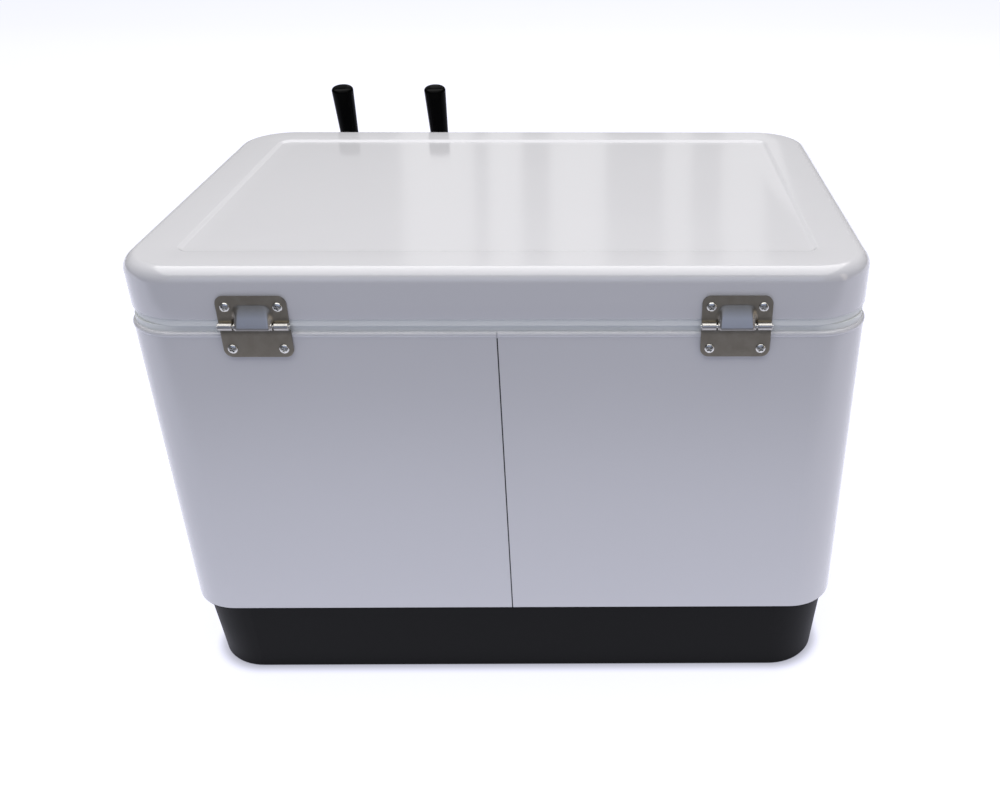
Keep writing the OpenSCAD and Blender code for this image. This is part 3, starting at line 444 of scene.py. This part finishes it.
def corner_reach(z, far, r):
    """Half width of a leaf at height z, whose corners at its far edge are rounded by r."""
    d = abs(far - z)
    return HINGE_W / 2 if d >= r else HINGE_W / 2 - r + math.sqrt(max(r * r - (r - d) ** 2, 0.0))


def corner_rows(far, inward, r):
    return [far + inward * r * (1 - math.cos(math.radians(a))) for a in range(0, 91, 9)]


def hood(x, z):
    """How far the pressed hood over the middle knuckle stands out of the leaf."""
    rise, out = 17.8, 7.1
    up = min(max((z - HINGE_Z) / rise, 0.0), 1.0)
    half = 17.6 - 0.8 * up - 3.4 * up ** 6
    slope = 1 - up
    face = out * (0.8 * slope + 0.2 * ease(slope))
    return face * ease((half - abs(x)) / (4.6 + 1.6 * up))


def make_upper_hinge(side, x0):
    top, tongue, notch, ears_low, notch_top = 403.5, 16.1, 16.9, 376.4, 381.0
    columns = spaced([-HINGE_W / 2, -notch, -tongue, -11, 0, 11, tongue, notch, HINGE_W / 2], 0.9)
    corner = corner_rows(top, -1, LEAF_R)
    rows = spaced([ears_low, HINGE_Z, notch_top, top - LEAF_R], 0.7)[:-1] + sorted(corner)

    def shape(i, j):
        x, z = columns[i], rows[j]
        x = x * corner_reach(z, top, LEAF_R) / (HINGE_W / 2)
        return Vector((x, LEAF_Y + LEAF_T + hood(x, z), z)) * MM

    def keep(x, z):
        return z > notch_top or abs(x) < tongue or (abs(x) > notch and z > HINGE_Z)

    sheet("hinge_leaf_upper_" + side, columns, rows, shape, keep, 1.1, "lid", ("hinge_upper_" + side,), x0)
    knuckle_x, knuckle_l = 22.6, 11.7
    for s in (-1, 1):
        knuckle("hinge_knuckle_" + side + ("_a" if s < 0 else "_b"), x0 + s * knuckle_x, knuckle_l, "lid")


def knuckle(name, x, length, body):
    """Barrel round the pin, with softened ends."""
    bore, soft, steps = 1.56, 0.35, 44
    half = length / 2
    profile = [(bore, -half), (KNUCKLE_R - soft, -half), (KNUCKLE_R, -half + soft), (KNUCKLE_R, half - soft),
               (KNUCKLE_R - soft, half), (bore, half)]
    rings = []
    for radius, along in profile:
        rings.append([Vector((x + along, HINGE_Y + radius * math.cos(a), HINGE_Z + radius * math.sin(a))) * MM
                      for a in (TAU * k / steps for k in range(steps))])
    rings.append(rings[0])
    verts, faces = loft(rings, capped=False)
    piece(name, verts, faces, body, "hinge_steel", sharp=40)


def make_lower_hinge(side, x0):
    low, high, face, tongue = 349.6, 373.6, 213.4, SPLIT - 0.4
    lean_from, lean_over, lean_depth = 370.0, 8.0, 0.9
    columns = spaced([-HINGE_W / 2, -tongue, 0, tongue, HINGE_W / 2], 1.6)
    rows = corner_rows(low, 1, LEAF_R) + spaced([low + LEAF_R, 371.0, high, HINGE_Z], 1.2)[1:]

    def shape(i, j):
        x, z = columns[i], rows[j]
        reach = corner_reach(z, low, LEAF_R) / (HINGE_W / 2)
        lean = lean_depth * ease((z - lean_from) / lean_over)
        return Vector((x * reach, face - lean, z)) * MM

    def keep(x, z):
        return z < high or abs(x) < tongue

    sheet("hinge_leaf_lower_" + side, columns, rows, shape, keep, 1.5, "cooler", ("hinge_lower_" + side,), x0)
    knuckle("hinge_middle_" + side, x0, 2 * SPLIT, "cooler")


# ---- Hinge screws ----

def screw_head(centre, turn):
    """Domed head with a cross recess, as a closed turned grid, and its plain shaft."""
    head_r, head_h, shaft_r, shaft_l, under = 4.2, 1.8, 1.9, 16.0, 0.02
    arm_half, arm_soft, recess_r, recess_depth = 0.62, 0.3, 2.5, 1.5
    spokes, verts, faces = 96, [], []
    radii = (0.0, 0.3, 0.6, 0.85, 1.1, 1.4, 1.7, 2.0, 2.25, 2.5, 2.8, 3.1, 3.5, 3.8, 4.0, 4.15, 4.2)

    def height(x, y, r):
        dome = head_h * math.sqrt(max(1 - (r / head_r) ** 2.6, 0.0)) if r < head_r else 0.0
        arm = max(ease((arm_half - abs(across)) / arm_soft + 0.5) for across in (x, y))
        return dome - recess_depth * arm * ease((recess_r - r) / 0.5)

    for r in radii:
        for k in range(spokes):
            angle = TAU * k / spokes
            x, y = r * math.cos(angle), r * math.sin(angle)
            verts.append((x, y, height(x, y, r)))
    for r, low in ((head_r, -under), (shaft_r, -under), (shaft_r, -shaft_l)):
        verts += [(r * math.cos(TAU * k / spokes), r * math.sin(TAU * k / spokes), low) for k in range(spokes)]
    for level in range(len(radii) + 2):
        for k in range(spokes):
            j = (k + 1) % spokes
            here, above = level * spokes, (level + 1) * spokes
            faces.append((here + k, here + j, above + j, above + k))
    faces.append(tuple(range((len(radii) + 2) * spokes, (len(radii) + 3) * spokes)))
    spin = Matrix.Rotation(math.radians(turn), 4, "Z")
    lay = Matrix.Rotation(math.radians(-90), 4, "X")
    placed = [(lay @ spin @ Vector(v) + Vector(centre)) * MM for v in verts]
    return placed, faces


def make_screws(name, node, body, y, z, turns):
    """Both hinges' screws at one height, each head turned by its own angle."""
    from_centre = 21.0
    verts, faces = [], []
    places = [(x0 + s * from_centre, y, z) for x0 in (-HINGE_X, HINGE_X) for s in (-1, 1)]
    for centre, turn in zip(places, turns):
        more, loops = screw_head(centre, turn)
        faces += [tuple(i + len(verts) for i in loop) for loop in loops]
        verts += more
    piece(name, verts, faces, body, "fastener_steel", node, sharp=48)


# ---- Wrap seam ----

def make_seam():
    """Dark strip in the groove where the wrap's sheet closes, slightly below its face: painted shade for the
    groove's shadow.
    """
    wide, deep, face, low, high, end = 1.08, 0.4, 211.0 - 0.15, 82.2, 365.0, 0.4
    rings = []
    for z in (low, low + end, 150.0, 220.0, 290.0, high - end, high):
        slim = 0.2 if z in (low, high) else 0.0
        ring = rounded_ring(wide - slim, deep - slim, 0.15, z, steps=3)
        rings.append([v + Vector((0, (face - deep / 2) * MM, 0)) for v in ring])
    verts, faces = loft(rings)
    # The dark strip is painted shade standing for the shadow in the narrow groove.
    piece("wrap_seam_painted_shade", verts, faces, "cooler", "seal_rubber")


# ---- Tap handles ----

def make_tap(side, x0):
    """Turned black handle with a rounded shoulder and a slightly domed end, on a plated ferrule."""
    lean = math.radians(10)
    bore, foot = 3.56, 27.0
    pivot = Vector((x0, -283.0, 315.0)) * MM
    along = Vector((0, math.sin(lean), math.cos(lean)))
    low, top, wide, rim = 40.0, 149.3, 12.3, 3.2
    waist, steps = 8.6, 16
    profile = [(bore, low), (8.2, low), (waist, low + 0.5)]
    for k in range(1, steps):
        share = k / steps
        profile.append((waist + (wide - waist) * (share ** 1.05), low + 0.5 + (top - rim - 1.3 - low) * share))
    profile += [(wide - rim + rim * math.cos(math.radians(a)), top - rim - 0.8 + rim * math.sin(math.radians(a)))
                for a in range(0, 81, 8)]
    profile += [(wide * 0.6, top - 0.32), (wide * 0.4, top - 0.14), (wide * 0.2, top - 0.03), (0.0, top)]
    verts, faces = lathe(profile, pivot, along)
    piece("tap_handle_turned_" + side, verts, faces, "tap_" + side, "gloss_black", "tap_handle_" + side, sharp=50)
    ring = [(bore, foot), (5.6, foot), (6.0, 27.3), (6.8, 28.2), (7.0, 29.5), (6.8, 31.0), (6.3, 31.6),
            (6.6, 32.4), (7.6, 36.0), (8.4, 38.2), (8.5, 39.4), (8.2, low), (bore, low)]
    verts, faces = lathe(ring, pivot, along)
    piece("tap_ferrule_turned_" + side, verts, faces, "tap_" + side, "bright_steel", "tap_ferrule_" + side,
          sharp=45)


add_camera()
add_light()
add_floor()
finish_cad_nodes()
make_lid_shell()
for side, sign in (("left", -1), ("right", 1)):
    make_upper_hinge(side, sign * HINGE_X)
    make_lower_hinge(side, sign * HINGE_X)
make_screws("lid_hinge_screw_heads", "lid_hinge_screws", "lid", 213.5, 393.9, (32, 48, 12, 67))
make_screws("body_hinge_screw_heads", "body_hinge_screws", "cooler", 213.4, 357.0, (55, 38, 75, 26))
make_seam()
make_tap("left", 107.0)
make_tap("right", 213.5)
